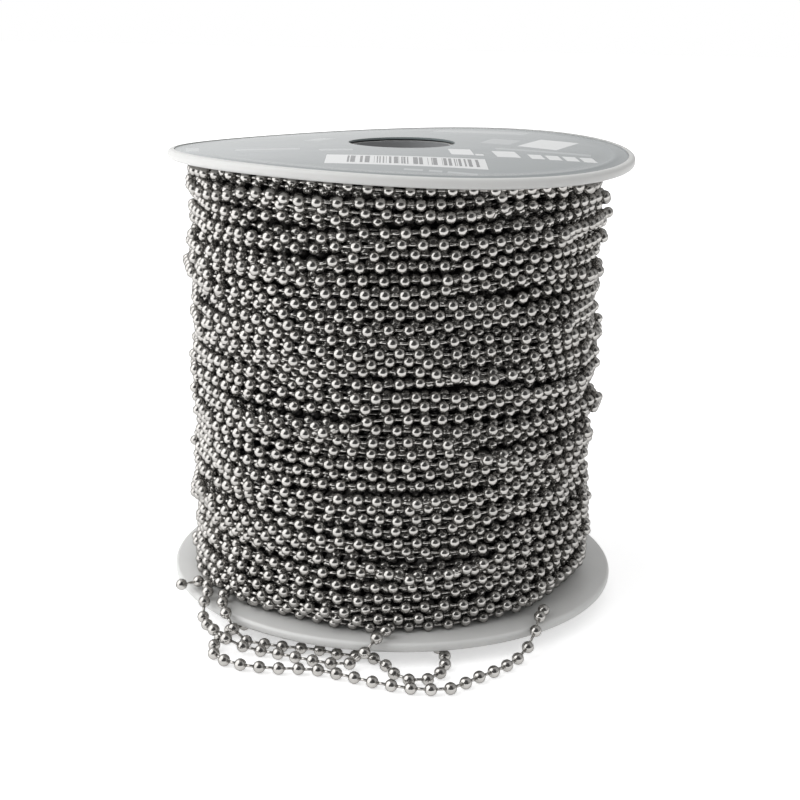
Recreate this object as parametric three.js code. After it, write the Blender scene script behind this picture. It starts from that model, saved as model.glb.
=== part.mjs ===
// A reel of metal ball chain for roller blinds: two thin plastic flanges on a core tube, the chain
// wound between them, and slack loops of the chain lying on the surface that the reel stands on.
// Millimetres, +Z up. The origin is on the reel's axis, in the plane that the foot ring stands on.
import * as THREE from "three";

// Ball chain
const BEAD_DIAMETER = 2.4;
const BEAD_SPACING = 4.0; // from bead to bead along a turn
const TURN_SPACING = 2.4; // from turn to turn, up the winding
const BEAD_RELIEF = 2.4; // how far the winding falls back between its beads, to the layer below
const WOUND_RADIUS = 42.9; // outside of the winding
const END_ANGLE = -150.5; // where the chain's outer end leaves the winding, in degrees from +X
const END_OVERHANG = 3.3; // how far that end sticks out over the bottom rim

// Flanges
const FLANGE_RADIUS = 47.5;
const FLANGE_THICKNESS = 1.9;
const RIM_ROUNDING = 0.7;
const BORE_RADIUS = 10.25;
const REEL_WIDTH = 90.4; // over the rims of both flanges
const BOTTOM_DISH = 0.5; // how far the bottom rim stands above its hub
const TOP_CROWN = 1.6; // how far the top hub stands above its rim
const TOP_LEAN = 0.55; // how far the top rim stands up at +X and down at -X
const TOP_TWIST = 1; // how far the top rim is sprung up and down, halfway between the X and Y axes

// Hub, core and foot
const SPIGOT_RADIUS = 12.7;
const SPIGOT_HEIGHT = 8;
const CORE_WALL = 2;
const FOOT_RADIUS = 24;
const FOOT_WIDTH = 4;
const FOOT_HEIGHT = 2.5;

// Label
const LABEL_RADIUS = 46.1;
const LABEL_HOLE_RADIUS = 10.9;
const LABEL_THICKNESS = 0.4;
const RECESS_DEPTH = 0.9;

// Clearance where one piece is seated in or on another
const SEAT_GAP = 0.3;

// Fineness of the round shapes
const ROUND_SEGMENTS = 48;
const ROUNDING_STEPS = 3;
const FACE_STEPS = 3;
const CHAIN_SIDES = 8;
const CHAIN_STEP = 2.2 * BEAD_DIAMETER;

// Levels of the two flanges at their rims
const bottomRimZ = FOOT_HEIGHT + BOTTOM_DISH;
const topRimZ = bottomRimZ + REEL_WIDTH - FLANGE_THICKNESS;
const coreInnerRadius = SPIGOT_RADIUS + SEAT_GAP;
const coreRadius = coreInnerRadius + CORE_WALL;
const footInnerRadius = FOOT_RADIUS - FOOT_WIDTH;
const recessRadius = LABEL_RADIUS + SEAT_GAP;

// How high the underside of each flange lies at a point
function bottomFlangeZ(x, y) {
  return FOOT_HEIGHT + BOTTOM_DISH * (Math.hypot(x, y) / FLANGE_RADIUS) ** 2;
}

function topFlangeZ(x, y) {
  const share = (Math.hypot(x, y) / FLANGE_RADIUS) ** 2;
  const lean = (TOP_LEAN * x) / FLANGE_RADIUS;
  const twist = (2 * TOP_TWIST * x * y) / FLANGE_RADIUS ** 2;
  return topRimZ + TOP_CROWN * (1 - share) + lean + twist;
}

// Profile points of a flat face from one radius to another, as [radius, height]
function face(from, to, height) {
  return Array.from({ length: FACE_STEPS + 1 }, (_, i) => [from + ((to - from) * i) / FACE_STEPS, height]);
}

// Profile points of the rounded rim, from the lower face to the upper one
function roundedRim() {
  const centre = FLANGE_RADIUS - RIM_ROUNDING;
  const corner = (height, start) =>
    Array.from({ length: ROUNDING_STEPS + 1 }, (_, i) => {
      const angle = start + ((Math.PI / 2) * i) / ROUNDING_STEPS;
      return [centre + RIM_ROUNDING * Math.cos(angle), height + RIM_ROUNDING * Math.sin(angle)];
    });
  return [...corner(RIM_ROUNDING, -Math.PI / 2), ...corner(FLANGE_THICKNESS - RIM_ROUNDING, 0)];
}

// A turned body from a closed profile of [radius, height] points. The surface function lifts each
// point by the level of the flange there, which bows and twists the body with its flange.
function turned(profile, surface = () => 0) {
  const points = [...profile, profile[0]].map(([radius, height]) => new THREE.Vector2(radius, height));
  const geometry = new THREE.LatheGeometry(points, ROUND_SEGMENTS);
  geometry.rotateX(Math.PI / 2);
  const position = geometry.attributes.position;
  for (let i = 0; i < position.count; i++) {
    const lift = surface(position.getX(i), position.getY(i));
    position.setZ(i, position.getZ(i) + lift);
  }
  geometry.computeVertexNormals();
  return geometry;
}

// The bottom flange, with the foot ring below it and the spigot that enters the core
function bottomFlange() {
  const foot = [
    [footInnerRadius, 0],
    [footInnerRadius, -bottomFlangeZ(footInnerRadius, 0)],
    [FOOT_RADIUS, -bottomFlangeZ(FOOT_RADIUS, 0)],
    [FOOT_RADIUS, 0],
  ];
  const profile = [
    [BORE_RADIUS, 0],
    ...foot,
    ...roundedRim(),
    ...face(FLANGE_RADIUS - RIM_ROUNDING, SPIGOT_RADIUS, FLANGE_THICKNESS).slice(1),
    [SPIGOT_RADIUS, FLANGE_THICKNESS + SPIGOT_HEIGHT],
    [BORE_RADIUS, FLANGE_THICKNESS + SPIGOT_HEIGHT],
  ];
  return turned(profile, bottomFlangeZ);
}

// The top flange, with the shallow recess for the label and the spigot that enters the core
function topFlange() {
  const profile = [
    [BORE_RADIUS, -SPIGOT_HEIGHT],
    [SPIGOT_RADIUS, -SPIGOT_HEIGHT],
    ...face(SPIGOT_RADIUS, FLANGE_RADIUS - RIM_ROUNDING, 0).slice(0, -1),
    ...roundedRim(),
    [recessRadius, FLANGE_THICKNESS],
    ...face(recessRadius, BORE_RADIUS, FLANGE_THICKNESS - RECESS_DEPTH),
  ];
  return turned(profile, topFlangeZ);
}

// The printed label, lying in the recess
function label() {
  const floor = FLANGE_THICKNESS - RECESS_DEPTH + SEAT_GAP;
  const profile = [
    ...face(LABEL_HOLE_RADIUS, LABEL_RADIUS, floor),
    ...face(LABEL_RADIUS, LABEL_HOLE_RADIUS, floor + LABEL_THICKNESS),
  ];
  return turned(profile, topFlangeZ);
}

// The core tube between the flanges, round both spigots, as high as the leaning top flange allows
function coreTube() {
  const levels = Array.from({ length: ROUND_SEGMENTS }, (_, i) => {
    const angle = (2 * Math.PI * i) / ROUND_SEGMENTS;
    return topFlangeZ(coreRadius * Math.cos(angle), coreRadius * Math.sin(angle));
  });
  const low = bottomFlangeZ(coreRadius, 0) + FLANGE_THICKNESS + SEAT_GAP;
  const high = Math.min(...levels) - SEAT_GAP;
  return turned([
    [coreInnerRadius, low],
    [coreRadius, low],
    [coreRadius, high],
    [coreInnerRadius, high],
  ]);
}

// The winding: one long helix of beads and of the dips between them. An odd number of these to a
// turn sets each turn's beads beside the dips of the next, so the surface is a bumpy lattice. The
// first and last turns lie flat along the flanges, without beads.
function woundChain() {
  const beadsPerTurn = Math.round((2 * Math.PI * WOUND_RADIUS) / BEAD_SPACING);
  const stepsPerTurn = 2 * beadsPerTurn - 1;
  const clearHeight = topRimZ - bottomRimZ - FLANGE_THICKNESS;
  const climbingTurns = Math.round(clearHeight / TURN_SPACING) - 1;
  const points = [];
  const triangles = [];

  const lastRing = stepsPerTurn * (climbingTurns + 1);
  const end = lastRing + stepsPerTurn;
  const isBead = (k) => k > stepsPerTurn && k < lastRing && k % 2 === 0;
  const addPoint = (radius, angle, share) => {
    const x = radius * Math.cos(angle);
    const y = radius * Math.sin(angle);
    const low = bottomFlangeZ(x, y) + FLANGE_THICKNESS + SEAT_GAP;
    const high = topFlangeZ(x, y) - SEAT_GAP;
    points.push(x, y, low + (high - low) * share);
  };

  for (let k = 0; k < end; k++) {
    const radius = isBead(k) ? WOUND_RADIUS : WOUND_RADIUS - BEAD_RELIEF;
    const share = (k - stepsPerTurn) / (lastRing - stepsPerTurn);
    addPoint(radius, (2 * Math.PI * k) / stepsPerTurn, Math.min(Math.max(share, 0), 1));
  }

  // The helix leaves the first flat turn where that closes, and ends in the last one
  const vertex = (k) => (k === stepsPerTurn ? 0 : k === end ? lastRing : k);
  const addTriangle = (...corners) => {
    const [a, b, c] = corners.map(vertex);
    if (a !== b && b !== c && c !== a) triangles.push(a, b, c);
  };
  for (let k = 0; k < lastRing; k++) {
    const above = k + stepsPerTurn;
    if (k % 2 === 0) {
      addTriangle(k, k + 1, above);
      addTriangle(k + 1, above + 1, above);
    } else {
      addTriangle(k, k + 1, above + 1);
      addTriangle(k, above + 1, above);
    }
  }

  // The wall round the core, and the two end faces between it and the flat turns
  const innerLow = points.length / 3;
  const innerHigh = innerLow + ROUND_SEGMENTS;
  for (const share of [0, 1]) {
    for (let i = 0; i < ROUND_SEGMENTS; i++) {
      addPoint(coreRadius + SEAT_GAP, (2 * Math.PI * i) / ROUND_SEGMENTS, share);
    }
  }
  for (let i = 0; i < ROUND_SEGMENTS; i++) {
    const next = (i + 1) % ROUND_SEGMENTS;
    triangles.push(innerLow + i, innerHigh + i, innerHigh + next);
    triangles.push(innerLow + i, innerHigh + next, innerLow + next);
  }
  const addEndFace = (outerStart, innerStart, facesUp) => {
    let outer = 0;
    let inner = 0;
    const push = (a, b, c) => triangles.push(...(facesUp ? [a, b, c] : [a, c, b]));
    while (outer < stepsPerTurn || inner < ROUND_SEGMENTS) {
      const outerPoint = outerStart + (outer % stepsPerTurn);
      const innerPoint = innerStart + (inner % ROUND_SEGMENTS);
      if ((outer + 1) / stepsPerTurn <= (inner + 1) / ROUND_SEGMENTS) {
        outer++;
        push(outerPoint, outerStart + (outer % stepsPerTurn), innerPoint);
      } else {
        inner++;
        push(outerPoint, innerStart + (inner % ROUND_SEGMENTS), innerPoint);
      }
    }
  };
  addEndFace(0, innerLow, false);
  addEndFace(lastRing, innerHigh, true);

  const geometry = new THREE.BufferGeometry();
  geometry.setAttribute("position", new THREE.Float32BufferAttribute(points, 3));
  geometry.setIndex(triangles);
  geometry.computeVertexNormals();
  return geometry;
}

// Slack chain. Each route is the middle line of the chain, and its points are chosen by hand.
const LOOSE_ROUTES = {
  // Off the winding at the left, under the front rim, round a small loop in front, back below the
  // reel, then out at the left and round the whole front to the winding again at the right
  loose_chain_long: [
    [-33.9, -29.3, 6.4],
    [-33.8, -32.6, 6.4],
    [-32.9, -36.0, 5.9],
    [-31.3, -38.4, 4.0],
    [-29.6, -39.6, 1.7],
    [-26.4, -40.4, 1.3],
    [-20.6, -42.1, 1.3],
    [-14.6, -42.9, 1.3],
    [-8.8, -45.2, 1.3],
    [-4.0, -45.8, 1.3],
    [-1.0, -49.0, 1.3],
    [1.2, -53.2, 1.3],
    [4.9, -55.4, 1.3],
    [8.6, -53.2, 1.3],
    [10.5, -47.6, 1.3],
    [9.6, -41.6, 1.3],
    [4.6, -37.2, 1.3],
    [-4.0, -35.8, 1.3],
    [-14.0, -34.6, 1.3],
    [-23.0, -31.6, 1.3],
    [-29.4, -32.2, 1.3],
    [-33.0, -36.6, 1.3],
    [-34.3, -41.8, 1.3],
    [-33.6, -46.4, 1.3],
    [-29.4, -49.8, 1.3],
    [-22.0, -51.4, 1.3],
    [-14.6, -51.6, 1.3],
    [-8.4, -53.8, 1.3],
    [-2.4, -56.5, 1.3],
    [5.0, -58.6, 1.3],
    [11.0, -58.2, 1.3],
    [16.2, -53.6, 1.3],
    [22.0, -48.4, 1.3],
    [25.8, -43.4, 1.8],
    [27.9, -40.7, 4.3],
    [28.9, -38.0, 6.4],
    [30.3, -33.4, 6.4],
  ],
  // Off the winding at the left, over the loop below it, along the front rim and up over it
  loose_chain_middle: [
    [-37.8, -24.4, 6.4],
    [-37.3, -28.6, 6.4],
    [-37.6, -32.3, 5.6],
    [-37.4, -34.6, 3.9],
    [-36.2, -38.0, 3.8],
    [-34.2, -41.6, 4.2],
    [-31.2, -43.7, 3.2],
    [-27.6, -43.4, 1.5],
    [-21.5, -45.2, 1.3],
    [-15.4, -47.6, 1.3],
    [-10.6, -48.9, 1.3],
    [-7.2, -49.2, 1.7],
    [-4.7, -49.1, 4.0],
    [-2.8, -48.2, 6.3],
    [-1.0, -44.9, 6.4],
  ],
};

// The chain's outer end, straight out from the winding and over the bottom rim
function endRoute() {
  const angle = THREE.MathUtils.degToRad(END_ANGLE);
  const height = bottomRimZ + FLANGE_THICKNESS + SEAT_GAP + BEAD_DIAMETER / 2;
  const radii = [WOUND_RADIUS + SEAT_GAP, FLANGE_RADIUS + END_OVERHANG];
  return radii.map((radius) => [radius * Math.cos(angle), radius * Math.sin(angle), height]);
}

// A plain tube of the chain's own diameter along a route
function looseChain(route) {
  const section = new THREE.Shape(
    Array.from({ length: CHAIN_SIDES }, (_, i) => {
      const angle = (2 * Math.PI * i) / CHAIN_SIDES;
      return new THREE.Vector2(Math.cos(angle), Math.sin(angle)).multiplyScalar(BEAD_DIAMETER / 2);
    }),
  );
  const points = route.map((point) => new THREE.Vector3(...point));
  const extrudePath = new THREE.CatmullRomCurve3(points, false, "centripetal");
  const steps = Math.ceil(extrudePath.getLength() / CHAIN_STEP);
  return new THREE.ExtrudeGeometry(section, { steps, extrudePath });
}

const PLASTIC = { color: 0xc9c9c8, roughness: 0.42, metalness: 0 };
const CORE_PLASTIC = { color: 0xb4b5b6, roughness: 0.5, metalness: 0 };
const PRINTED_FILM = { color: 0xb6bdbf, roughness: 0.22, metalness: 0 };
const PLATED_METAL = { color: 0xc6c5c2, roughness: 0.18, metalness: 1 };

function piece(name, geometry, finish) {
  const mesh = new THREE.Mesh(geometry, new THREE.MeshStandardMaterial(finish));
  mesh.name = name;
  return mesh;
}

const reel = new THREE.Group();
reel.add(
  piece("bottom_flange", bottomFlange(), PLASTIC),
  piece("top_flange", topFlange(), PLASTIC),
  piece("core_tube", coreTube(), CORE_PLASTIC),
  piece("label", label(), PRINTED_FILM),
  piece("wound_chain", woundChain(), PLATED_METAL),
);
for (const [name, route] of Object.entries({ ...LOOSE_ROUTES, loose_chain_end: endRoute() })) {
  reel.add(piece(name, looseChain(route), PLATED_METAL));
}

export default reel;
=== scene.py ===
import math

import bpy
import numpy as np
from mathutils import Matrix, Vector


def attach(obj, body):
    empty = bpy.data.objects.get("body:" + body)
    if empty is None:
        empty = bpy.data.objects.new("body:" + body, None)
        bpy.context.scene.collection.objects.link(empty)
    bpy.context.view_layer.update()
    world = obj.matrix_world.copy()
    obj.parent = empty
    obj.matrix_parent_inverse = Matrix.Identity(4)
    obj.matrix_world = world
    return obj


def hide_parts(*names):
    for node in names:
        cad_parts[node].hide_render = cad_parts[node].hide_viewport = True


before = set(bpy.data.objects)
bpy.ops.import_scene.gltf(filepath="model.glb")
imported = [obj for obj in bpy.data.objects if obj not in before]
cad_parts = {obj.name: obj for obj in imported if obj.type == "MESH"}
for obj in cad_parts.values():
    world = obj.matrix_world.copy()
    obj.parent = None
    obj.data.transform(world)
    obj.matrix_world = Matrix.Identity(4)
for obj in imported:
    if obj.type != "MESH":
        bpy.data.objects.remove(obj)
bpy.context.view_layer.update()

rng = np.random.default_rng(13)

# Chain
BEAD_DIAMETER = 0.0024
BEAD_SPACING = 0.0037
LINK_DIAMETER = 0.0006
DIMPLE_RADIUS = 0.00042
DIMPLE_DEPTH = 0.00012
LINK_INSET = BEAD_DIAMETER / 3
# How finely the chain is made: points around a bead, rings along it, and sides of a link. The links
# of the deepest layer don't show, so it has none.
LOOSE_FINENESS = (16, 7, 8)
OUTER_FINENESS = (12, 5, 6)
MIDDLE_FINENESS = (8, 4, 6)
DEEP_FINENESS = (8, 4, 0)
CELL_FILL = 0.6  # how much of its cell on the UV map a bead fills

# Reel, as in the CAD model
FLANGE_RADIUS = 0.0475
FLANGE_THICKNESS = 0.0019
RIM_ROUNDING = 0.0007
BORE_RADIUS = 0.01025
REEL_WIDTH = 0.0904
BOTTOM_DISH = 0.0005
TOP_CROWN = 0.0016
TOP_LEAN = 0.00055
TOP_TWIST = 0.001
SPIGOT_RADIUS = 0.0127
SPIGOT_HEIGHT = 0.008
CORE_RADIUS = 0.015
FOOT_RADIUS = 0.024
FOOT_WIDTH = 0.004
FOOT_HEIGHT = 0.0025
LABEL_RADIUS = 0.0461
LABEL_HOLE_RADIUS = 0.0109
LABEL_THICKNESS = 0.0004
RIDGE_RADIUS = 0.0436
RIDGE_WIDTH = 0.0014
RIDGE_HEIGHT = 0.00006
RECESS_DEPTH = 0.0009
SEAT_GAP = 0.0003
FILM_GAP = 0.0001  # between the label film and the wall of its recess

BOTTOM_RIM_Z = FOOT_HEIGHT + BOTTOM_DISH
TOP_RIM_Z = BOTTOM_RIM_Z + REEL_WIDTH - FLANGE_THICKNESS


def bottom_flange_z(x, y):
    return FOOT_HEIGHT + BOTTOM_DISH * (x * x + y * y) / FLANGE_RADIUS**2


def top_flange_z(x, y):
    crown = TOP_CROWN * (1 - (x * x + y * y) / FLANGE_RADIUS**2)
    twist = 2 * TOP_TWIST * x * y / FLANGE_RADIUS**2
    return TOP_RIM_Z + crown + TOP_LEAN * x / FLANGE_RADIUS + twist


# Camera, at the photograph's place
CAMERA_PLACE = Vector((0, -0.30141, 0.12436))
CAMERA_PITCH = 0.2734
CAMERA_ROLL = 0.0221
FOCAL_PIXELS = 1454.9
FRAME_PIXELS = 800
CENTRE_PIXEL = 396.06
SENSOR_WIDTH = 36  # in millimetres, as the lens
NEAREST_SEEN = 0.01


def make_camera():
    data = bpy.data.cameras.new("camera")
    data.sensor_width = SENSOR_WIDTH
    data.lens = FOCAL_PIXELS / FRAME_PIXELS * data.sensor_width
    data.shift_x = (FRAME_PIXELS / 2 - CENTRE_PIXEL) / FRAME_PIXELS
    data.clip_start = NEAREST_SEEN
    camera = bpy.data.objects.new("camera", data)
    forward = Vector((0, math.cos(CAMERA_PITCH), -math.sin(CAMERA_PITCH)))
    level_up = Vector((0, math.sin(CAMERA_PITCH), math.cos(CAMERA_PITCH)))
    level_right = Vector((1, 0, 0))
    right = math.cos(CAMERA_ROLL) * level_right + math.sin(CAMERA_ROLL) * level_up
    up = math.cos(CAMERA_ROLL) * level_up - math.sin(CAMERA_ROLL) * level_right
    axes = Matrix((right, up, -forward)).transposed().to_4x4()
    camera.matrix_world = Matrix.Translation(CAMERA_PLACE) @ axes
    bpy.context.scene.collection.objects.link(camera)
    bpy.context.scene.camera = camera


make_camera()


# Meshes
def mesh_object(name, vertices, triangles, uvs=None):
    """A smooth mesh from arrays of vertices, triangles and, for each vertex, its place on the UV map."""
    mesh = bpy.data.meshes.new(name)
    mesh.vertices.add(len(vertices))
    mesh.vertices.foreach_set("co", np.asarray(vertices, np.float32).ravel())
    corners = np.asarray(triangles, np.int32).ravel()
    mesh.loops.add(len(corners))
    mesh.loops.foreach_set("vertex_index", corners)
    mesh.polygons.add(len(triangles))
    mesh.polygons.foreach_set("loop_start", np.arange(0, len(corners), 3, dtype=np.int32))
    mesh.update(calc_edges=True)
    mesh.polygons.foreach_set("use_smooth", np.ones(len(triangles), bool))
    if uvs is not None:
        layer = mesh.uv_layers.new(name="OFBake")
        layer.data.foreach_set("uv", np.asarray(uvs, np.float32)[corners].ravel())
    thing = bpy.data.objects.new(name, mesh)
    bpy.context.scene.collection.objects.link(thing)
    return thing


def unit(vectors):
    return vectors / np.linalg.norm(vectors, axis=-1, keepdims=True)


def bead_template(around, rings):
    """One bead along X, with a dimple at each end where the link goes in."""
    first = math.asin(DIMPLE_RADIUS / (BEAD_DIAMETER / 2))
    slopes = np.linspace(first, math.pi - first, rings)
    turn = np.arange(around) * 2 * math.pi / around
    ring = [
        np.c_[np.full(around, math.cos(s)), math.sin(s) * np.cos(turn), math.sin(s) * np.sin(turn)]
        for s in slopes
    ]
    pole = math.cos(first) * BEAD_DIAMETER / 2 - DIMPLE_DEPTH
    vertices = np.vstack([*(r * BEAD_DIAMETER / 2 for r in ring), [[pole, 0, 0], [-pole, 0, 0]]])
    triangles = []
    for j in range(rings - 1):
        for k in range(around):
            a, b = j * around + k, j * around + (k + 1) % around
            triangles += [(a, a + around, b), (b, a + around, b + around)]
    last = (rings - 1) * around
    for k in range(around):
        following = (k + 1) % around
        triangles.append((rings * around, k, following))
        triangles.append((rings * around + 1, last + following, last + k))
    return vertices, np.array(triangles)


def link_template(sides):
    """One link along X, from 0 to 1 in length, closed at both ends."""
    turn = np.arange(sides) * 2 * math.pi / sides
    section = np.c_[np.zeros(sides), np.cos(turn), np.sin(turn)] * LINK_DIAMETER / 2
    vertices = np.vstack([section, section + [1, 0, 0]])
    triangles = []
    for k in range(sides):
        following = (k + 1) % sides
        triangles += [(k, following, k + sides), (following, following + sides, k + sides)]
    for k in range(1, sides - 1):
        triangles += [(0, k + 1, k), (sides, sides + k, sides + k + 1)]
    return vertices, np.array(triangles)


def frames_along(directions):
    """For each direction along the chain, a matrix of it and two directions square to it."""
    along = unit(directions)
    side = unit(np.cross(along, [0, 0, 1]))
    return np.stack([along, side, np.cross(along, side)], axis=1)


def chain_object(name, centres, fineness):
    """Beads at the centres, in order along the chain, with a link from each to the next."""
    around, rings, link_sides = fineness
    bead, bead_triangles = bead_template(around, rings)
    steps = np.diff(centres, axis=0)
    axes = frames_along(np.vstack([steps, steps[-1:]]) + np.vstack([steps[:1], steps]))
    vertices = (bead @ axes + centres[:, None, :]).reshape(-1, 3)
    starts = len(bead) * np.arange(len(centres))
    triangles = (bead_triangles[None] + starts[:, None, None]).reshape(-1, 3)
    cells = np.repeat(np.arange(len(centres)), len(bead))
    if link_sides:
        # A link starts and ends inside its two beads
        link, link_triangles = link_template(link_sides)
        stretch = np.ones((len(steps), 1, 3))
        stretch[:, 0, 0] = np.linalg.norm(steps, axis=1) - 2 * LINK_INSET
        inside = centres[:-1] + unit(steps) * LINK_INSET
        links = ((link[None] * stretch) @ frames_along(steps) + inside[:, None, :]).reshape(-1, 3)
        starts = len(vertices) + len(link) * np.arange(len(steps))
        triangles = np.vstack([triangles, (link_triangles[None] + starts[:, None, None]).reshape(-1, 3)])
        vertices = np.vstack([vertices, links])
        cells = np.r_[cells, np.repeat(np.arange(len(steps)), len(link))]
    # Each bead has its own small cell on the UV map
    columns = math.ceil(math.sqrt(len(centres)))
    place = np.c_[cells % columns, cells // columns] + 0.5
    spread = (vertices[:, [0, 2]] / BEAD_DIAMETER) % 1 - 0.5
    thing = mesh_object(name, vertices, triangles, (place + CELL_FILL * spread) / columns)
    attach(thing, "root")
    return thing


# Loose chain, on the CAD model's own routes
LONG_ROUTE = [
    (-0.0339, -0.0293, 0.0064), (-0.0338, -0.0326, 0.0064), (-0.0329, -0.0360, 0.0059),
    (-0.0313, -0.0384, 0.0040), (-0.0296, -0.0396, 0.0017), (-0.0264, -0.0404, 0.0013),
    (-0.0206, -0.0421, 0.0013), (-0.0146, -0.0429, 0.0013), (-0.0088, -0.0452, 0.0013),
    (-0.0040, -0.0458, 0.0013), (-0.0010, -0.0490, 0.0013), (0.0012, -0.0532, 0.0013),
    (0.0049, -0.0554, 0.0013), (0.0086, -0.0532, 0.0013), (0.0105, -0.0476, 0.0013),
    (0.0096, -0.0416, 0.0013), (0.0046, -0.0372, 0.0013), (-0.0040, -0.0358, 0.0013),
    (-0.0140, -0.0346, 0.0013), (-0.0230, -0.0316, 0.0013), (-0.0294, -0.0322, 0.0013),
    (-0.0330, -0.0366, 0.0013), (-0.0343, -0.0418, 0.0013), (-0.0336, -0.0464, 0.0013),
    (-0.0294, -0.0498, 0.0013), (-0.0220, -0.0514, 0.0013), (-0.0146, -0.0516, 0.0013),
    (-0.0084, -0.0538, 0.0013), (-0.0024, -0.0565, 0.0013), (0.0050, -0.0586, 0.0013),
    (0.0110, -0.0582, 0.0013), (0.0162, -0.0536, 0.0013), (0.0220, -0.0484, 0.0013),
    (0.0258, -0.0434, 0.0018), (0.0279, -0.0407, 0.0043), (0.0289, -0.0380, 0.0064),
    (0.0303, -0.0334, 0.0064),
]
MIDDLE_ROUTE = [
    (-0.0378, -0.0244, 0.0064), (-0.0373, -0.0286, 0.0064), (-0.0376, -0.0323, 0.0056),
    (-0.0374, -0.0346, 0.0039), (-0.0362, -0.0380, 0.0038), (-0.0342, -0.0416, 0.0042),
    (-0.0312, -0.0437, 0.0032), (-0.0276, -0.0434, 0.0015), (-0.0215, -0.0452, 0.0013),
    (-0.0154, -0.0476, 0.0013), (-0.0106, -0.0489, 0.0013), (-0.0072, -0.0492, 0.0017),
    (-0.0047, -0.0491, 0.0040), (-0.0028, -0.0482, 0.0063), (-0.0010, -0.0449, 0.0064),
]
END_ANGLE = math.radians(-150.5)  # where the chain's outer end leaves the winding
END_OVERHANG = 0.0033  # how far the chain's outer end sticks out over the bottom rim
END_BEADS = 3
ROUTE_STEPS = 24  # from one of a route's points to the next


def end_route():
    """The beads of the outer end, straight out from the winding and over the bottom rim."""
    height = BOTTOM_RIM_Z + FLANGE_THICKNESS + SEAT_GAP + BEAD_DIAMETER / 2
    last = FLANGE_RADIUS + END_OVERHANG - BEAD_DIAMETER / 2
    radii = [last - i * BEAD_SPACING for i in reversed(range(END_BEADS))]
    return [(r * math.cos(END_ANGLE), r * math.sin(END_ANGLE), height) for r in radii]


def smooth_route(route):
    """Close points along a centripetal Catmull-Rom curve through the route's points."""
    points = np.array(route)
    points = np.vstack([2 * points[0] - points[1], points, 2 * points[-1] - points[-2]])
    steps = np.linalg.norm(np.diff(points, axis=0), axis=1) ** 0.5
    t = np.arange(ROUTE_STEPS)[:, None] / ROUTE_STEPS
    spans = []
    for i in range(1, len(points) - 2):
        before, start, end, after = points[i - 1 : i + 3]
        d0, d1, d2 = steps[i - 1 : i + 2]
        leave = ((start - before) / d0 - (end - before) / (d0 + d1) + (end - start) / d1) * d1
        arrive = ((end - start) / d1 - (after - start) / (d1 + d2) + (after - end) / d2) * d1
        h = end - start
        spans.append(
            start + leave * t + (3 * h - 2 * leave - arrive) * t**2 + (leave + arrive - 2 * h) * t**3
        )
    return np.vstack([*spans, points[-2:-1]])


def beads_along(points):
    """Bead centres evenly spaced along the points, from the first of them to the last."""
    travelled = np.r_[0, np.linalg.norm(np.diff(points, axis=0), axis=1).cumsum()]
    count = round(travelled[-1] / BEAD_SPACING) + 1
    wanted = np.linspace(0, travelled[-1], count)
    return np.stack([np.interp(wanted, travelled, points[:, i]) for i in range(3)], axis=1)


def loose_chain(name, route):
    """A loose strand of beads, and the close points of its route."""
    path = smooth_route(route)
    chain = chain_object(name, beads_along(path), LOOSE_FINENESS)
    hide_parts(name.removesuffix("_beads"))
    return chain, path


def make_cords():
    chains = []
    for name, route in (("loose_chain_long", LONG_ROUTE), ("loose_chain_middle", MIDDLE_ROUTE)):
        chain, path = loose_chain(name + "_beads", route)
        chains.append(chain)
    return chains


loose_chains = make_cords()
loose_chains.append(loose_chain("loose_chain_end_beads", end_route())[0])


# Winding. Each turn is laid on the turns below it and beside it, as a machine would lay it.
LAYERS = 3
OUTER_PIECES = 3  # the pieces that a layer is split into, so that none is too large
MIDDLE_PIECES = 2
ROW_PITCH = 0.0022
START_ANGLE = math.radians(-150)  # where the first turn starts
FIRST_RADIUS = 0.0376  # of the deepest layer made bead by bead
LEAST_RISE = 0.0008  # how far each layer at least stands out from the one below it
DEEP_RADIUS = 0.0366  # of the body under the layers, dark with painted shade
# For each layer, how far its turns stray from their rows and wander up and down round the reel,
# and how far below the top flange it ends
ROW_WANDER = (0.0002, 0.0002, 0.0005)
TURN_WANDER = (0.0001, 0.0001, 0.00045)
TOP_MARGINS = (0.0, 0.0004, 0.0014)
WAVES = 4  # in a turn's wandering, each finer and weaker than the last
WAVE_FADE = 0.7
WAVE_KEPT = 0.75  # how much of its waves a turn has from the turn before, and how much is new
WAVE_NEW = 0.66
TURN_CHANGES = 3  # a turn has left the last one's line after a third of its way round
SPACING_PLAY = 0.00009  # how unevenly beads are spaced along the chain
HEIGHT_JITTER = 0.00006  # and how unevenly they lie, up or down and outwards
# Beads slip up or down and along the chain to where they lie deeper, if that gains more than it costs
HEIGHT_SLIPS = np.linspace(-0.0012, 0.0012, 7)
CHAIN_SLIPS = np.linspace(-0.0009, 0.0009, 5)
SLIP_COST = 0.2
HEIGHT_SMOOTHING = 2  # passes that even out the slips of neighbouring beads
CHAIN_SMOOTHING = 4
CONTACT = 0.97 * BEAD_DIAMETER  # how close the centres of two beads come
TOUCHING_TURN = 0.3  # beads further apart round the reel than this, in radians, never touch
NEAR_HEIGHT = 0.0055  # only beads this near a turn are looked at
NEAR_DEPTH = 0.0045
SLACK = 0.0002  # how far a bead hangs below its neighbours where the chain bridges a low place
BRIDGING_PASSES = 24
# How much fuller the winding is than its mean radius, at heights up the reel
FULLNESS = [
    (0.005, 0.0004),
    (0.028, -0.0007),
    (0.050, 0.0),
    (0.075, 0.0003),
    (0.083, -0.0005),
    (0.091, -0.0019),
]
OFF_CENTRE = 0.0009  # how much fuller the winding is at its -X side
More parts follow.
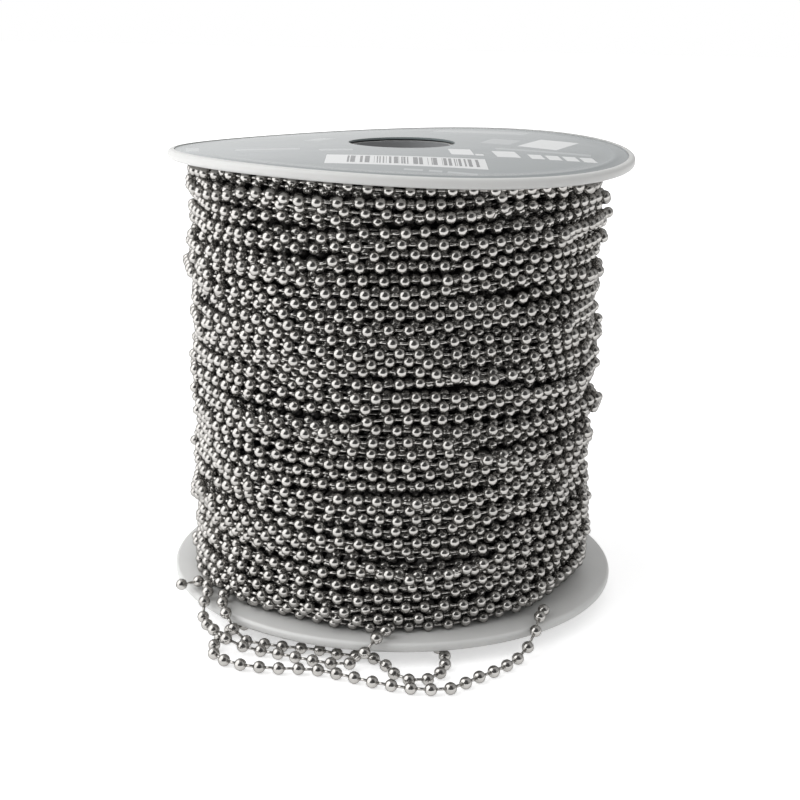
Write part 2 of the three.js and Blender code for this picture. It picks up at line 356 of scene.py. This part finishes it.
# Turns of the top layer that were thrown across their neighbours: angle, height, shift, half width
THROWN_LOOPS = [
    (math.radians(-9), 0.0725, 0.0026, 0.25),
    (math.radians(-9), 0.0605, -0.0022, 0.25),
    (math.radians(-168), 0.066, 0.0024, 0.45),
    (math.radians(-95), 0.034, 0.0020, 0.40),
    (math.radians(-60), 0.071, 0.0018, 0.35),
    (math.radians(-125), 0.078, -0.0022, 0.40),
    (math.radians(-75), 0.053, 0.0022, 0.35),
    (math.radians(-118), 0.047, -0.0020, 0.30),
    (math.radians(-45), 0.040, -0.0020, 0.35),
    (math.radians(-138), 0.024, 0.0020, 0.40),
    (math.radians(-80), 0.018, -0.0018, 0.35),
    (math.radians(60), 0.045, 0.0022, 0.40),
    (math.radians(130), 0.070, -0.0020, 0.35),
]


def wrapped(angle):
    return (angle + math.pi) % (2 * math.pi) - math.pi


def resting_radius(angle, height, laid, least):
    """The least radius at which beads at these places lie on the beads already laid."""
    laid_angle, laid_height, laid_radius = laid
    turn = wrapped(angle[:, None] - laid_angle[None, :])
    rise = height[:, None] - laid_height[None, :]
    room = CONTACT**2 - rise**2 - (laid_radius * np.sin(turn)) ** 2
    reach = laid_radius * np.cos(turn) + np.sqrt(np.maximum(room, 0))
    touching = (room > 0) & (np.abs(turn) < TOUCHING_TURN)
    return np.maximum(np.where(touching, reach, 0).max(axis=1), least)


def smoothed(values, passes):
    for _ in range(passes):
        padded = np.r_[values[0], values, values[-1]]
        values = (padded[:-2] + 2 * padded[1:-1] + padded[2:]) / 4
    return values


def height_limits(angle, radius):
    """How low and how high a bead can lie between the flanges."""
    x = radius * np.cos(angle)
    y = radius * np.sin(angle)
    clear = BEAD_DIAMETER / 2
    return bottom_flange_z(x, y) + FLANGE_THICKNESS + clear, top_flange_z(x, y) - clear


def wandering(angles, waves, shift):
    """How far a turn wanders up and down, as a shift and a few waves round the reel."""
    orders = np.arange(1, len(waves) + 1)
    phases = np.outer(angles, orders)
    swing = np.cos(phases) * waves[:, 0] + np.sin(phases) * waves[:, 1]
    return shift + (swing / orders**WAVE_FADE).sum(axis=1)


def thrown(angles, level):
    """How far a turn of the top layer is thrown across its neighbours."""
    across = np.zeros(len(angles))
    for angle, height, shift, width in THROWN_LOOPS:
        if abs(level.mean() - height) < ROW_PITCH / 2:
            across += shift * np.exp(-((wrapped(angles - angle) / width) ** 2))
    return across


def lay_turn(angles, level, laid, radius_now, radius_before, fullness):
    """Where the beads of one turn come to rest, as angles, heights and radii."""
    lowest, highest = height_limits(angles, np.full(len(angles), radius_now))
    near = (np.abs(laid[1] - level.mean()) < NEAR_HEIGHT) & (laid[2] > radius_now - NEAR_DEPTH)
    close = [part[near] for part in laid]
    least = fullness + np.interp(level, *zip(*FULLNESS)) - OFF_CENTRE * np.cos(angles)
    slips = np.array([(up, on) for up in HEIGHT_SLIPS for on in CHAIN_SLIPS])
    if len(close[0]):
        tried = [
            resting_radius(angles + on / radius_now, np.clip(level + up, lowest, highest), close, least)
            + SLIP_COST * (abs(up) + abs(on))
            for up, on in slips
        ]
        best = slips[np.argmin(tried, axis=0)]
        level = level + smoothed(best[:, 0], HEIGHT_SMOOTHING)
        angles = angles + smoothed(best[:, 1], CHAIN_SMOOTHING) / radius_now
    level = np.clip(level + rng.normal(0, HEIGHT_JITTER, len(angles)), lowest, highest)
    rest = resting_radius(angles, level, close, least) if len(close[0]) else least
    # The chain is pulled fairly tight, so it bridges the low places
    radius = rest.copy()
    straight = math.cos(BEAD_SPACING / radius_now)
    for _ in range(BRIDGING_PASSES):
        ends = np.r_[radius_before, radius, radius[-1]]
        radius = np.maximum(rest, (ends[:-2] + ends[2:]) / 2 * straight - SLACK)
    return angles, level, radius + np.abs(rng.normal(0, HEIGHT_JITTER, len(angles)))


def wind():
    """Bead centres of each layer, in order along the chain."""
    laid = [np.empty(0), np.empty(0), np.empty(0)]
    angle_now = START_ANGLE
    radius_now = radius_before = FIRST_RADIUS
    waves = np.zeros((WAVES, 2))
    shift = 0.0
    layers = []
    for layer in range(LAYERS):
        low, high = height_limits(0.0, radius_now)
        high -= TOP_MARGINS[layer]
        turns = round((high - low) / ROW_PITCH) + 1
        centres = []
        for turn in range(turns):
            start, end = turn / (turns - 1), min((turn + 1) / (turns - 1), 1)
            if layer % 2:
                start, end = 1 - start, 1 - end
            count = round(2 * math.pi * radius_now / BEAD_SPACING)
            spacing = BEAD_SPACING + rng.normal(0, SPACING_PLAY, count)
            angles = angle_now + np.cumsum(spacing / radius_now)
            along = (angles - angle_now) / (2 * math.pi)
            level = low + (high - low) * (start + (end - start) * along)
            # The turn leaves the last one's line little by little
            next_waves = WAVE_KEPT * waves + WAVE_NEW * rng.normal(0, TURN_WANDER[layer], (WAVES, 2))
            next_shift = rng.normal(0, ROW_WANDER[layer])
            before = wandering(angles, waves, shift)
            after = wandering(angles, next_waves, next_shift)
            level = level + before + (after - before) * np.minimum(along * TURN_CHANGES, 1)
            waves, shift = next_waves, next_shift
            if layer == LAYERS - 1:
                level = level + thrown(angles, level)
            fullness = FIRST_RADIUS + layer * LEAST_RISE
            new = lay_turn(angles, level, laid, radius_now, radius_before, fullness)
            laid = [np.r_[old, part] for old, part in zip(laid, new)]
            angles, level, radius = new
            centres.append(np.c_[radius * np.cos(angles), radius * np.sin(angles), level])
            angle_now = angles[-1]
            radius_before = radius[-1]
            radius_now = radius.mean()
        layers.append(np.vstack(centres))
    return layers


def split_strand(centres, parts):
    """Cuts a strand into parts that share their end beads, so that the links between them stay."""
    cuts = np.linspace(0, len(centres) - 1, parts + 1).round().astype(int)
    return [centres[a : b + 1] for a, b in zip(cuts[:-1], cuts[1:])]


def layer_pieces(name, centres, pieces, fineness):
    strands = split_strand(centres, pieces)
    return [chain_object(f"{name}_{i + 1}", strand, fineness) for i, strand in enumerate(strands)]


def make_winding():
    """The pieces of the outer and the middle layer, and the deepest layer as one piece."""
    deep, middle, outer = wind()
    outer_layer = layer_pieces("wound_outer", outer, OUTER_PIECES, OUTER_FINENESS)
    middle_layer = layer_pieces("wound_middle", middle, MIDDLE_PIECES, MIDDLE_FINENESS)
    return outer_layer, middle_layer, chain_object("wound_deep", deep, DEEP_FINENESS)


# Turned bodies
FLANGE_SEGMENTS = 192
BODY_SEGMENTS = 96
FACE_STEPS = 14
ROUNDING_STEPS = 5
RIDGE_STEPS = 12
SHARP_ANGLE = math.radians(30)


def turned(name, profile, segments, surface=lambda x, y: 0 * x):
    """A turned body from a closed profile of (radius, height), lifted by the surface's level."""
    profile = np.array(profile)
    angle = np.arange(segments) * 2 * math.pi / segments
    radius, height = profile[:, 0], profile[:, 1]
    x = np.outer(np.cos(angle), radius)
    y = np.outer(np.sin(angle), radius)
    vertices = np.stack([x, y, height[None, :] + surface(x, y)], axis=2).reshape(-1, 3)
    count = len(profile)
    triangles = []
    for k in range(segments):
        here, there = k * count, (k + 1) % segments * count
        for i in range(count):
            j = (i + 1) % count
            triangles += [(here + i, there + i, here + j), (there + i, there + j, here + j)]
    thing = mesh_object(name, vertices, triangles)
    thing.data.set_sharp_from_angle(angle=SHARP_ANGLE)
    return thing


def face(start, end, height):
    """Points of a profile along a flat face, from one radius to another."""
    return [(start + (end - start) * i / FACE_STEPS, height) for i in range(FACE_STEPS + 1)]


def quarter_circle(centre_radius, centre_height, size, start):
    """Points of a profile along a quarter circle, from a start angle in degrees."""
    angles = [math.radians(start + 90 * i / ROUNDING_STEPS) for i in range(ROUNDING_STEPS + 1)]
    return [(centre_radius + size * math.cos(a), centre_height + size * math.sin(a)) for a in angles]


def rounded_rim():
    centre = FLANGE_RADIUS - RIM_ROUNDING
    lower = quarter_circle(centre, RIM_ROUNDING, RIM_ROUNDING, -90)
    return lower + quarter_circle(centre, FLANGE_THICKNESS - RIM_ROUNDING, RIM_ROUNDING, 0)


def make_flanges():
    foot_inner = FOOT_RADIUS - FOOT_WIDTH
    hub_top = FLANGE_THICKNESS + SPIGOT_HEIGHT
    bottom_profile = [
        (BORE_RADIUS, 0),
        (foot_inner, 0),
        (foot_inner, -bottom_flange_z(foot_inner, 0)),
        (FOOT_RADIUS, -bottom_flange_z(FOOT_RADIUS, 0)),
        (FOOT_RADIUS, 0),
        *rounded_rim(),
        *face(FLANGE_RADIUS - RIM_ROUNDING, SPIGOT_RADIUS, FLANGE_THICKNESS)[1:],
        (SPIGOT_RADIUS, hub_top),
        (BORE_RADIUS, hub_top),
    ]
    recess = LABEL_RADIUS + FILM_GAP
    top_profile = [
        (BORE_RADIUS, -SPIGOT_HEIGHT),
        (SPIGOT_RADIUS, -SPIGOT_HEIGHT),
        *face(SPIGOT_RADIUS, FLANGE_RADIUS - RIM_ROUNDING, 0)[:-1],
        *rounded_rim(),
        (recess, FLANGE_THICKNESS),
        *face(recess, BORE_RADIUS, FLANGE_THICKNESS - RECESS_DEPTH),
    ]
    label_floor = FLANGE_THICKNESS - RECESS_DEPTH + SEAT_GAP
    label_top = label_floor + LABEL_THICKNESS
    ridge_angles = [math.radians(180 * i / RIDGE_STEPS) for i in range(RIDGE_STEPS + 1)]
    ridge = [
        (RIDGE_RADIUS + RIDGE_WIDTH * math.cos(a) / 2, label_top + RIDGE_HEIGHT * math.sin(a) ** 2)
        for a in ridge_angles
    ]
    label_profile = [
        *face(LABEL_HOLE_RADIUS, LABEL_RADIUS, label_floor),
        (LABEL_RADIUS, label_top),
        *ridge,
        *face(RIDGE_RADIUS - RIDGE_WIDTH / 2, LABEL_HOLE_RADIUS, label_top)[1:],
    ]
    bottom = turned("bottom_flange_moulding", bottom_profile, FLANGE_SEGMENTS, bottom_flange_z)
    top = turned("top_flange_moulding", top_profile, FLANGE_SEGMENTS, top_flange_z)
    label = turned("label_film", label_profile, FLANGE_SEGMENTS, top_flange_z)
    for thing, node, slot in (
        (bottom, "bottom_flange", "flange_plastic"),
        (top, "top_flange", "flange_plastic"),
        (label, "label", "printed_film"),
    ):
        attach(thing, "root")
        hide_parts(node)
    return bottom, top, label


def make_winding_body():
    """What lies under the layers of beads: the rest of the chain, as one body, dark with painted shade.
    """
    low = FOOT_HEIGHT + FLANGE_THICKNESS + BOTTOM_DISH
    high = TOP_RIM_Z - TOP_LEAN - SEAT_GAP
    inner = CORE_RADIUS + SEAT_GAP
    profile = [(inner, low), (DEEP_RADIUS, low), (DEEP_RADIUS, high), (inner, high)]
    body = turned("wound_chain_body", profile, BODY_SEGMENTS)
    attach(body, "root")
    return body


outer_layer, middle_layer, deep_layer = make_winding()
winding_body = make_winding_body()
for piece in [*outer_layer, *middle_layer, deep_layer, winding_body]:
    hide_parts("wound_chain")
bottom_flange, top_flange, label = make_flanges()


# Materials
def new_material(name):
    material = bpy.data.materials.new(name)
    material.use_nodes = True
    nodes = material.node_tree.nodes
    return material, nodes, material.node_tree.links, nodes["Principled BSDF"]


def feed(links, value, socket):
    """Sets a socket to a plain number, or links another node's value to it."""
    if isinstance(value, float):
        socket.default_value = value
    else:
        links.new(value, socket)


def noise(nodes, links, scale, detail, roughness):
    """Noise over the object's own coordinates, as a value from about 0.3 to 0.7."""
    coordinates = nodes.new("ShaderNodeTexCoord")
    texture = nodes.new("ShaderNodeTexNoise")
    texture.inputs["Scale"].default_value = scale
    texture.inputs["Detail"].default_value = detail
    texture.inputs["Roughness"].default_value = roughness
    links.new(coordinates.outputs["Object"], texture.inputs["Vector"])
    return texture.outputs["Fac"]


def ramp(nodes, links, value, stops):
    """Colours by value: stops of (place, colour)."""
    node = nodes.new("ShaderNodeValToRGB")
    elements = node.color_ramp.elements
    elements[0].position, elements[0].color = stops[0][0], (*stops[0][1], 1)
    elements[1].position, elements[1].color = stops[-1][0], (*stops[-1][1], 1)
    for place, colour in stops[1:-1]:
        elements.new(place).color = (*colour, 1)
    links.new(value, node.inputs["Fac"])
    return node.outputs["Color"]


def math_node(nodes, links, operation, *values):
    node = nodes.new("ShaderNodeMath")
    node.operation = operation
    for socket, value in zip(node.inputs, values):
        feed(links, value, socket)
    return node.outputs["Value"]


def mixed(nodes, links, factor, colour, other):
    """One colour where the factor is 0, and another, plain one where it is 1."""
    mix = nodes.new("ShaderNodeMix")
    mix.data_type = "RGBA"
    links.new(factor, mix.inputs["Factor"])
    links.new(colour, mix.inputs["A"])
    mix.inputs["B"].default_value = (*other, 1)
    return mix.outputs["Result"]


def add_bump(nodes, links, shader, height, distance):
    bump = nodes.new("ShaderNodeBump")
    bump.inputs["Distance"].default_value = distance
    bump.inputs["Strength"].default_value = 1.0
    links.new(height, bump.inputs["Height"])
    links.new(bump.outputs["Normal"], shader.inputs["Normal"])


# The ..._NOISE values below are each a noise's scale, detail and roughness
TONE_RANGE = (0.3, 0.7)  # the range of noise that a tone is spread over
NICKEL_TONE_RANGE = (0.35, 0.65)


def toned(nodes, links, value, span, dark, light):
    """A colour from a dark to a light tone, by where a value lies in a span."""
    return ramp(nodes, links, value, [(span[0], dark), (span[1], light)])


# Nickel plate: how bright each layer's plate is, and its roughness. The middle layer's plate is darkened
# as painted shade, where the turns shade each other; deep down it is darker still with painted shade,
# and rougher.
BRIGHT_NICKEL = (0.475, 0.08)
# the middle layer's plate, darkened as painted shade
SHADED_NICKEL = (0.42, 0.11)
# the deep layer's plate, much darker as painted shade
DEEP_SHADE_NICKEL = (0.11, 0.3)
# Its tone varies from bead to bead, between a darker and a lighter one
NICKEL_TONE_NOISE = (260.0, 3.0, 0.5)
NICKEL_DARK = (0.9, 0.875, 0.84)
NICKEL_LIGHT = (1.085, 1.055, 1.015)
# How much of the light the thin plate still reflects at a glancing angle
EDGE_TINT = (0.22, 0.22, 0.22)
# The plate is a little dull with handling, which scatters the rest of the light
PLATE_METALLIC = 0.91


def plated_metal(name, level, roughness):
    material, nodes, links, shader = new_material(name)
    tone = noise(nodes, links, *NICKEL_TONE_NOISE)
    dark = tuple(level * c for c in NICKEL_DARK)
    light = tuple(level * c for c in NICKEL_LIGHT)
    colour = toned(nodes, links, tone, NICKEL_TONE_RANGE, dark, light)
    links.new(colour, shader.inputs["Base Color"])
    shader.inputs["Metallic"].default_value = PLATE_METALLIC
    shader.inputs["Roughness"].default_value = roughness
    shader.inputs["Specular Tint"].default_value = (*EDGE_TINT, 1)
    return material


# Moulded plastic: colour and roughness
FLANGE_PLASTIC = ((0.6, 0.6, 0.59), 0.4)
CORE_PLASTIC = ((0.45, 0.46, 0.46), 0.5)
PLASTIC_TONE_NOISE = (45.0, 5.0, 0.6)  # a soft cloudiness, from a darker to a lighter tone
PLASTIC_DARK = 0.95
PLASTIC_LIGHT = 1.03
PLASTIC_GRAIN_NOISE = (900.0, 4.0, 0.6)  # the mould's fine texture
PLASTIC_GRAIN_DEPTH = 0.00003
BORE_PAINTED_SHADE = (0.25, 0.255, 0.26)  # painted shade on the wall of the bore, where little light reaches
BORE_SHADE_DEPTH = 0.0001  # how far out from the bore's radius the painted shade reaches


def moulded_plastic(name, colour, roughness):
    material, nodes, links, shader = new_material(name)
    tone = noise(nodes, links, *PLASTIC_TONE_NOISE)
    dark = tuple(PLASTIC_DARK * c for c in colour)
    light = tuple(PLASTIC_LIGHT * c for c in colour)
    parts = nodes.new("ShaderNodeSeparateXYZ")
    links.new(nodes.new("ShaderNodeTexCoord").outputs["Object"], parts.inputs["Vector"])
    squares = [math_node(nodes, links, "POWER", parts.outputs[axis], 2.0) for axis in "XY"]
    radius = math_node(nodes, links, "SQRT", math_node(nodes, links, "ADD", *squares))
    # The wall of the bore gets painted shade, a darker colour inside the bore's radius
    bore_shade_mask = math_node(nodes, links, "LESS_THAN", radius, BORE_RADIUS + BORE_SHADE_DEPTH)
    plain = toned(nodes, links, tone, TONE_RANGE, dark, light)
    links.new(mixed(nodes, links, bore_shade_mask, plain, BORE_PAINTED_SHADE), shader.inputs["Base Color"])
    shader.inputs["Roughness"].default_value = roughness
    grain = noise(nodes, links, *PLASTIC_GRAIN_NOISE)
    add_bump(nodes, links, shader, grain, PLASTIC_GRAIN_DEPTH)
    return material


# Label film
BLUE_GREY = (0.168, 0.192, 0.197)
PALE_INK = (0.62, 0.63, 0.63)
# a faint ink, and also the colour of the painted dark reflection at the label's left edge
FAINT_INK_AND_REFLECTION = (0.3, 0.32, 0.325)
DARK_INK = (0.045, 0.05, 0.055)
FILM_ROUGHNESS = 0.22
FILM_TONE_NOISE = (30.0, 3.0, 0.5)
FILM_DARK = 0.94
FILM_LIGHT = 1.08
FILM_RIPPLE_NOISE = (60.0, 2.0, 0.5)  # the film lies in slight ripples
FILM_RIPPLE_DEPTH = 0.00012
MM = 0.001
# Plain fields on it, all printed but the last, which is a painted dark reflection at the label's left
# edge: centre x, y, width and height in millimetres, turn in degrees, ink
PRINT_AND_REFLECTION_FIELDS = [
    (0.9, -28.7, 30.0, 11.4, 0.5, PALE_INK),
    (11.6, -14.4, 4.4, 7.6, 4.0, PALE_INK),
    (15.1, -17.4, 1.6, 1.8, 4.0, PALE_INK),
    (20.4, -14.8, 4.6, 7.6, 6.0, PALE_INK),
    (26.2, -16.0, 2.6, 5.2, 6.0, PALE_INK),
    (29.6, -16.0, 2.6, 5.2, 6.0, PALE_INK),
    (33.0, -15.9, 2.6, 5.2, 6.0, PALE_INK),
    (36.4, -15.8, 2.6, 5.2, 6.0, PALE_INK),
    (30.4, 3.4, 8.4, 15.0, -24.0, PALE_INK),
    (20.6, 5.0, 6.2, 9.5, -20.0, FAINT_INK_AND_REFLECTION),
    (28.2, -8.4, 19.0, 2.4, -8.0, FAINT_INK_AND_REFLECTION),
    (17.6, 27.2, 21.0, 7.0, -18.0, FAINT_INK_AND_REFLECTION),
    (-26.2, -14.2, 12.6, 2.6, 3.0, FAINT_INK_AND_REFLECTION),
    (-12.8, -15.2, 6.6, 2.8, 8.0, FAINT_INK_AND_REFLECTION),
    (-17.2, 7.0, 3.6, 7.0, -30.0, FAINT_INK_AND_REFLECTION),
    (2.2, -38.5, 3.4, 1.8, -4.0, FAINT_INK_AND_REFLECTION),
    (6.2, -38.8, 2.4, 1.8, -4.0, FAINT_INK_AND_REFLECTION),
    (11.0, -39.6, 5.4, 1.8, -8.0, FAINT_INK_AND_REFLECTION),
    # painted dark reflection at the label's left edge, not print
    (-41.4, -11.0, 2.6, 9.0, 8.0, FAINT_INK_AND_REFLECTION),
]
# Where bars of irregular width cross the first field, and their mean width
BARRED_FIELD = (2.2, -28.2, 24.6, 8.4, 0.5)
BAR_WIDTH = 0.45


def field_mask(nodes, links, coordinates, x, y, width, height, turn, barred=False):
    """1 inside a turned rectangle on the label, or on the bars across it, and 0 outside."""
    mapping = nodes.new("ShaderNodeMapping")
    mapping.vector_type = "TEXTURE"
    mapping.inputs["Location"].default_value = (x * MM, y * MM, 0)
    mapping.inputs["Rotation"].default_value = (0, 0, math.radians(turn))
    links.new(coordinates, mapping.inputs["Vector"])
    parts = nodes.new("ShaderNodeSeparateXYZ")
    links.new(mapping.outputs["Vector"], parts.inputs["Vector"])
    masks = []
    for axis, size in (("X", width), ("Y", height)):
        away = math_node(nodes, links, "ABSOLUTE", parts.outputs[axis])
        masks.append(math_node(nodes, links, "LESS_THAN", away, size * MM / 2))
    if barred:
        bars = nodes.new("ShaderNodeTexNoise")
        bars.noise_dimensions = "1D"
        bars.inputs["Scale"].default_value = 1 / (2 * BAR_WIDTH * MM)
        bars.inputs["Detail"].default_value = 1.0
        links.new(parts.outputs["X"], bars.inputs["W"])
        masks.append(math_node(nodes, links, "GREATER_THAN", bars.outputs["Fac"], 0.5))
    inside = masks[0]
    for mask in masks[1:]:
        inside = math_node(nodes, links, "MULTIPLY", inside, mask)
    return inside


def printed_film():
    material, nodes, links, shader = new_material("printed_film")
    tone = noise(nodes, links, *FILM_TONE_NOISE)
    dark = tuple(FILM_DARK * c for c in BLUE_GREY)
    light = tuple(FILM_LIGHT * c for c in BLUE_GREY)
    colour = toned(nodes, links, tone, TONE_RANGE, dark, light)
    coordinates = nodes.new("ShaderNodeTexCoord").outputs["Object"]
    for *place, ink in PRINT_AND_REFLECTION_FIELDS:
        colour = mixed(nodes, links, field_mask(nodes, links, coordinates, *place), colour, ink)
    bars = field_mask(nodes, links, coordinates, *BARRED_FIELD, barred=True)
    links.new(mixed(nodes, links, bars, colour, DARK_INK), shader.inputs["Base Color"])
    shader.inputs["Roughness"].default_value = FILM_ROUGHNESS
    add_bump(nodes, links, shader, noise(nodes, links, *FILM_RIPPLE_NOISE), FILM_RIPPLE_DEPTH)
    return material


def finish_with(material, things):
    for thing in things:
        thing.data.materials.clear()
        thing.data.materials.append(material)


finish_with(plated_metal("bright_nickel", *BRIGHT_NICKEL), loose_chains + outer_layer)
# The middle layer, and the deep layer with the body under it, have painted shade in their plate's colour
finish_with(plated_metal("shaded_nickel", *SHADED_NICKEL), middle_layer)
finish_with(plated_metal("deep_shade_nickel", *DEEP_SHADE_NICKEL), [deep_layer, winding_body])
finish_with(moulded_plastic("flange_plastic", *FLANGE_PLASTIC), [bottom_flange, top_flange])
finish_with(printed_film(), [label])
finish_with(moulded_plastic("core_plastic", *CORE_PLASTIC), [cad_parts["core_tube"]])


# Floor, world and lamps
FLOOR_HALF_SIZE = 3.0
FLOOR_FRONT = -0.2  # the table ends here, between the reel and the camera
FLOOR_COLOUR = (0.86, 0.86, 0.86)
FLOOR_ROUGHNESS = 0.9
FLOOR_GLOW = [(0.06, 0.5), (0.25, 0.85)]  # strength by distance from the reel
DARK_SIDE = Vector((0, -0.89, 0.45)).normalized()  # where the studio is dark, above the camera
# Strength of the studio's walls, by how far they lie towards the dark side: -1 is behind the reel
WALLS = [(-1.0, 1.0), (-0.82, 1.0), (-0.4, 0.85), (0.5, 0.75), (0.7, 0.12), (0.8, 0.04), (1.0, 0.02)]
# A factor on it above the table, from the left to the right: most behind the reel at the left. The
# far left is darker, because the label mirrors it to a viewer at the right.
SIDES = [(-1.0, 0.3), (-0.9, 0.35), (-0.6, 1.2), (-0.2, 1.2), (0.1, 0.9), (0.3, 0.6), (1.0, 0.6)]
SIDES_START = 0.01  # how high above level this factor begins, and where it is whole
SIDES_FULL = 0.08
ROOM_LIGHT = 0.7  # what the walls give as soft light
# A large soft lamp at the left and a weak one at the right, both aimed at the middle of the reel
LAMP_TARGET = Vector((0, 0, 0.045))
KEY_LAMP = {"place": (-0.5, -0.12, 0.36), "size": 0.85, "power": 3.9}
FILL_LAMP = {"place": (0.75, -0.25, 0.6), "size": 0.7, "power": 0.2}


def curve(nodes, links, value, points):
    """A value by another one: straight lines through points of (value, result)."""
    start, end = points[0][0], points[-1][0]
    spread = nodes.new("ShaderNodeMapRange")
    spread.inputs["From Min"].default_value = start
    spread.inputs["From Max"].default_value = end
    links.new(value, spread.inputs["Value"])
    most = max(result for _, result in points)
    # A ramp holds no result over 1, so it gives shares of the largest one, as greys
    stops = [((place - start) / (end - start), 3 * (result / most,)) for place, result in points]
    shares = ramp(nodes, links, spread.outputs["Result"], stops)
    return math_node(nodes, links, "MULTIPLY", shares, float(most))


def seen_directly(nodes, links):
    """1 for what the camera sees, straight or in a mirror or glass, and 0 for soft light."""
    path = nodes.new("ShaderNodeLightPath")
    mirrored = math_node(
        nodes, links, "MAXIMUM", path.outputs["Is Glossy Ray"], path.outputs["Is Transmission Ray"]
    )
    return math_node(nodes, links, "MAXIMUM", path.outputs["Is Camera Ray"], mirrored)


def make_floor():
    size = FLOOR_HALF_SIZE
    corners = [(-size, FLOOR_FRONT, 0), (size, FLOOR_FRONT, 0), (size, size, 0), (-size, size, 0)]
    floor = mesh_object("floor", corners, [(0, 1, 2), (0, 2, 3)])
    material, nodes, links, shader = new_material("pale_floor")
    shader.inputs["Base Color"].default_value = (*FLOOR_COLOUR, 1)
    shader.inputs["Roughness"].default_value = FLOOR_ROUGHNESS
    shader.inputs["Emission Color"].default_value = (1, 1, 1, 1)
    # The floor fades to white away from the reel
    distance = nodes.new("ShaderNodeVectorMath")
    distance.operation = "LENGTH"
    links.new(nodes.new("ShaderNodeTexCoord").outputs["Object"], distance.inputs[0])
    glow = curve(nodes, links, distance.outputs["Value"], FLOOR_GLOW)
    seen = seen_directly(nodes, links)
    links.new(math_node(nodes, links, "MULTIPLY", glow, seen), shader.inputs["Emission Strength"])
    floor.data.materials.append(material)


def make_world():
    """A pale studio, white behind the reel and dark round the camera."""
    world = bpy.data.worlds.new("studio")
    bpy.context.scene.world = world
    world.use_nodes = True
    nodes, links = world.node_tree.nodes, world.node_tree.links
    nodes.clear()
    direction = nodes.new("ShaderNodeTexCoord").outputs["Generated"]
    towards = nodes.new("ShaderNodeVectorMath")
    towards.operation = "DOT_PRODUCT"
    towards.inputs[1].default_value = DARK_SIDE
    links.new(direction, towards.inputs[0])
    parts = nodes.new("ShaderNodeSeparateXYZ")
    links.new(direction, parts.inputs["Vector"])
    walls = curve(nodes, links, towards.outputs["Value"], WALLS)
    rise = curve(nodes, links, parts.outputs["Z"], [(SIDES_START, 0.0), (SIDES_FULL, 1.0)])
    sides = math_node(nodes, links, "POWER", curve(nodes, links, parts.outputs["X"], SIDES), rise)
    mix = nodes.new("ShaderNodeMixShader")
    links.new(seen_directly(nodes, links), mix.inputs["Fac"])
    strengths = (ROOM_LIGHT, math_node(nodes, links, "MULTIPLY", walls, sides))
    for strength, socket in zip(strengths, mix.inputs[1:]):
        light = nodes.new("ShaderNodeBackground")
        light.inputs["Color"].default_value = (1, 1, 1, 1)
        feed(links, strength, light.inputs["Strength"])
        links.new(light.outputs["Background"], socket)
    output = nodes.new("ShaderNodeOutputWorld")
    links.new(mix.outputs["Shader"], output.inputs["Surface"])


def make_lamp(name, place, size, power):
    data = bpy.data.lights.new(name, "AREA")
    data.shape = "SQUARE"
    data.size = size
    data.energy = power
    lamp = bpy.data.objects.new(name, data)
    lamp.location = place
    lamp.rotation_euler = (LAMP_TARGET - Vector(place)).to_track_quat("-Z", "Y").to_euler()
    bpy.context.scene.collection.objects.link(lamp)


make_floor()
make_world()
make_lamp("key_lamp", **KEY_LAMP)
make_lamp("fill_lamp", **FILL_LAMP)
bpy.context.scene.view_settings.view_transform = "Standard"
